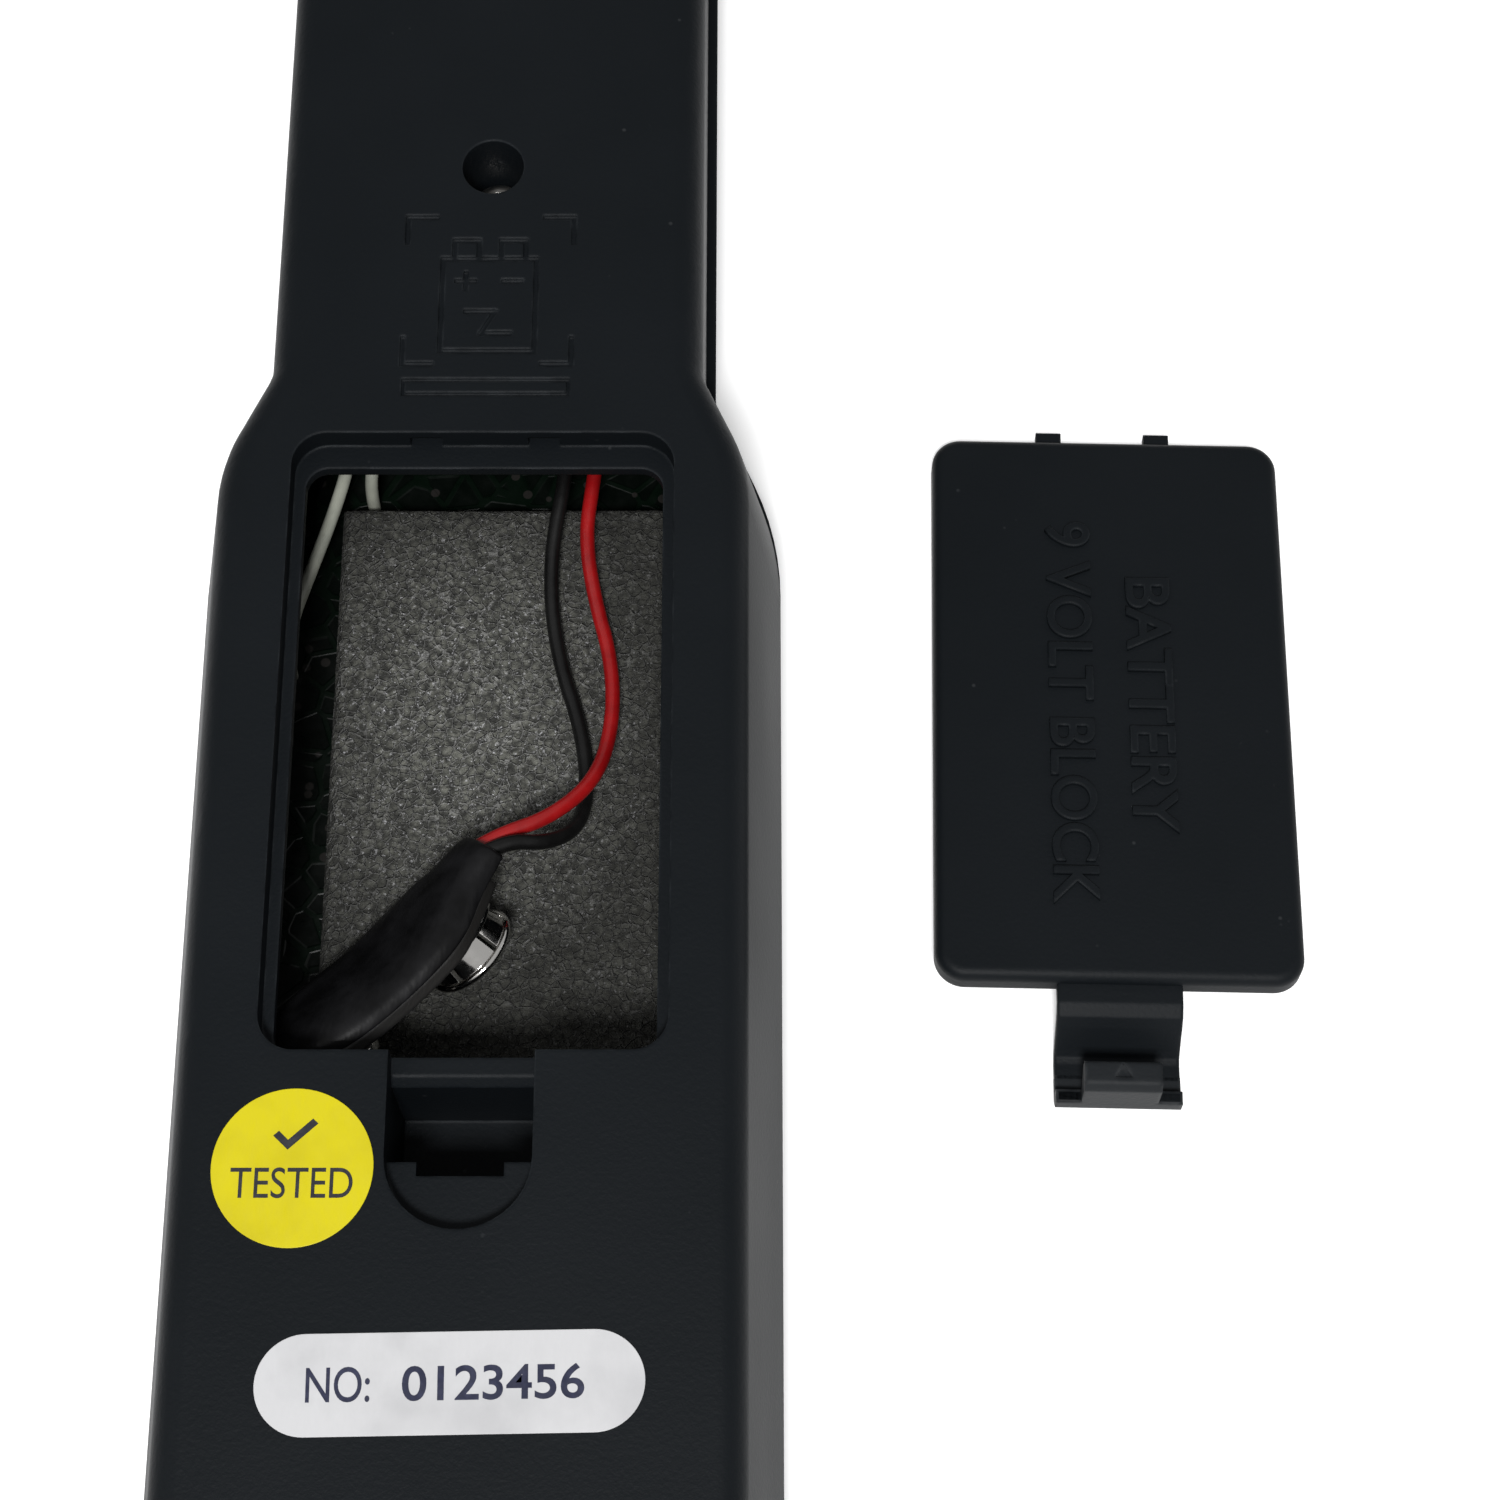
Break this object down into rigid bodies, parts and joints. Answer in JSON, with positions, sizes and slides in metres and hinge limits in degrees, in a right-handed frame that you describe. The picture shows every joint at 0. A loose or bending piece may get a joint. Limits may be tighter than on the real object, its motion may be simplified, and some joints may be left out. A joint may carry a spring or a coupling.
{
  "type": "circuit breaker finder",
  "caption": "Hand-held circuit breaker finder receiver seen from the rear, its battery bay open with snap connector and leads, the battery door with latch lying beside it.",
  "frame": {"origin": "middle of the receiver's flat front face, on which it lies", "axes": "+Y from the grip to the sensing tip, +Z out of the rear face that carries the battery door, +X to the right seen from the rear"},
  "size_m": [0.1001, 0.2, 0.0261],
  "materials": {
    "charcoal_shell": "moulded ABS, satin with a fine texture",
    "screw_steel": "zinc plated",
    "board_laminate": "solder masked laminate",
    "foam": "open-cell foam, speckled",
    "ferrite": "sintered, dull",
    "bobbin_plastic": "natural nylon",
    "copper_wire": "enamelled copper wire",
    "black_plastic": "moulded",
    "knob_plastic": "moulded, fine grip",
    "white_paint": "filled pointer line",
    "shaft_metal": "turned",
    "buzzer_brass": "thin disc",
    "lamp_red": "tinted resin",
    "lens_clear": "clear cap",
    "chip_resin": "moulded resin, tinned legs",
    "capacitor_sleeve": "shrink sleeve",
    "resistor_coat": "lacquered, banded",
    "sticker_yellow": "printed vinyl",
    "label_white": "printed satin paper",
    "panel_film": "printed film",
    "snap_vinyl": "soft moulded vinyl",
    "fibre_board": "fibre board",
    "nickel": "nickel plated",
    "red_insulation": "PVC insulation",
    "black_insulation": "PVC insulation",
    "white_insulation": "off-white insulation"
  },
  "bodies": {
    "case": {"amplifier_chip": "chip_resin", "battery_foam_pad": "foam", "black_lead": "black_insulation", "board_screws": "screw_steel", "buzzer_disc": "buzzer_brass", "buzzer_housing": "black_plastic", "capacitors": "capacitor_sleeve", "case_screws": "screw_steel", "circuit_board": "board_laminate", "coil_bobbin": "bobbin_plastic", "coil_winding": "copper_wire", "comparator_chip": "chip_resin", "ferrite_rod": "ferrite", "front_panel_label": "panel_film", "front_shell": "charcoal_shell", "indicator_lamp": "lamp_red", "lamp_lens": "lens_clear", "potentiometer_body": "black_plastic", "rear_shell": "charcoal_shell", "red_lead": "red_insulation", "resistors": "resistor_coat", "round_sticker": "sticker_yellow", "sensor_wire_long": "white_insulation", "sensor_wire_short": "white_insulation", "serial_label": "label_white"},
    "sensitivity_knob": {"sensitivity_knob": "knob_plastic", "knob_pointer": "white_paint", "potentiometer_shaft": "shaft_metal"},
    "battery_door": {"door_panel": "charcoal_shell", "latch_strap": "charcoal_shell"},
    "door_latch": {"latch_tongue": "charcoal_shell"},
    "battery_snap": {"snap_cover": "snap_vinyl", "snap_base": "fibre_board", "snap_socket": "nickel", "snap_stud": "nickel", "snap_rivets": "nickel"}
  },
  "joints": [
    {"name": "sensitivity_turn", "type": "hinge", "parent": "case", "child": "sensitivity_knob", "pos_m": [0, -0.068, 0], "axis": [0, 0, 1], "range_deg": [0, 270]},
    {"name": "door_lift", "type": "slide", "parent": "case", "child": "battery_door", "axis": [0, 0, 1], "range_m": [0, 0.07]},
    {"name": "latch_flex", "type": "hinge", "parent": "battery_door", "child": "door_latch", "pos_m": [0.05617, -0.03837, 0.00127], "axis": [-0.9998, 0.0209, 0], "range_deg": [0, 20], "stiffness_Nm_per_rad": 0.3},
    {"name": "snap_lift", "type": "slide", "parent": "case", "child": "battery_snap", "axis": [0.5071, 0.169, 0.8452], "range_m": [0, 0.018], "deforming": ["red_lead", "black_lead"]}
  ]
}
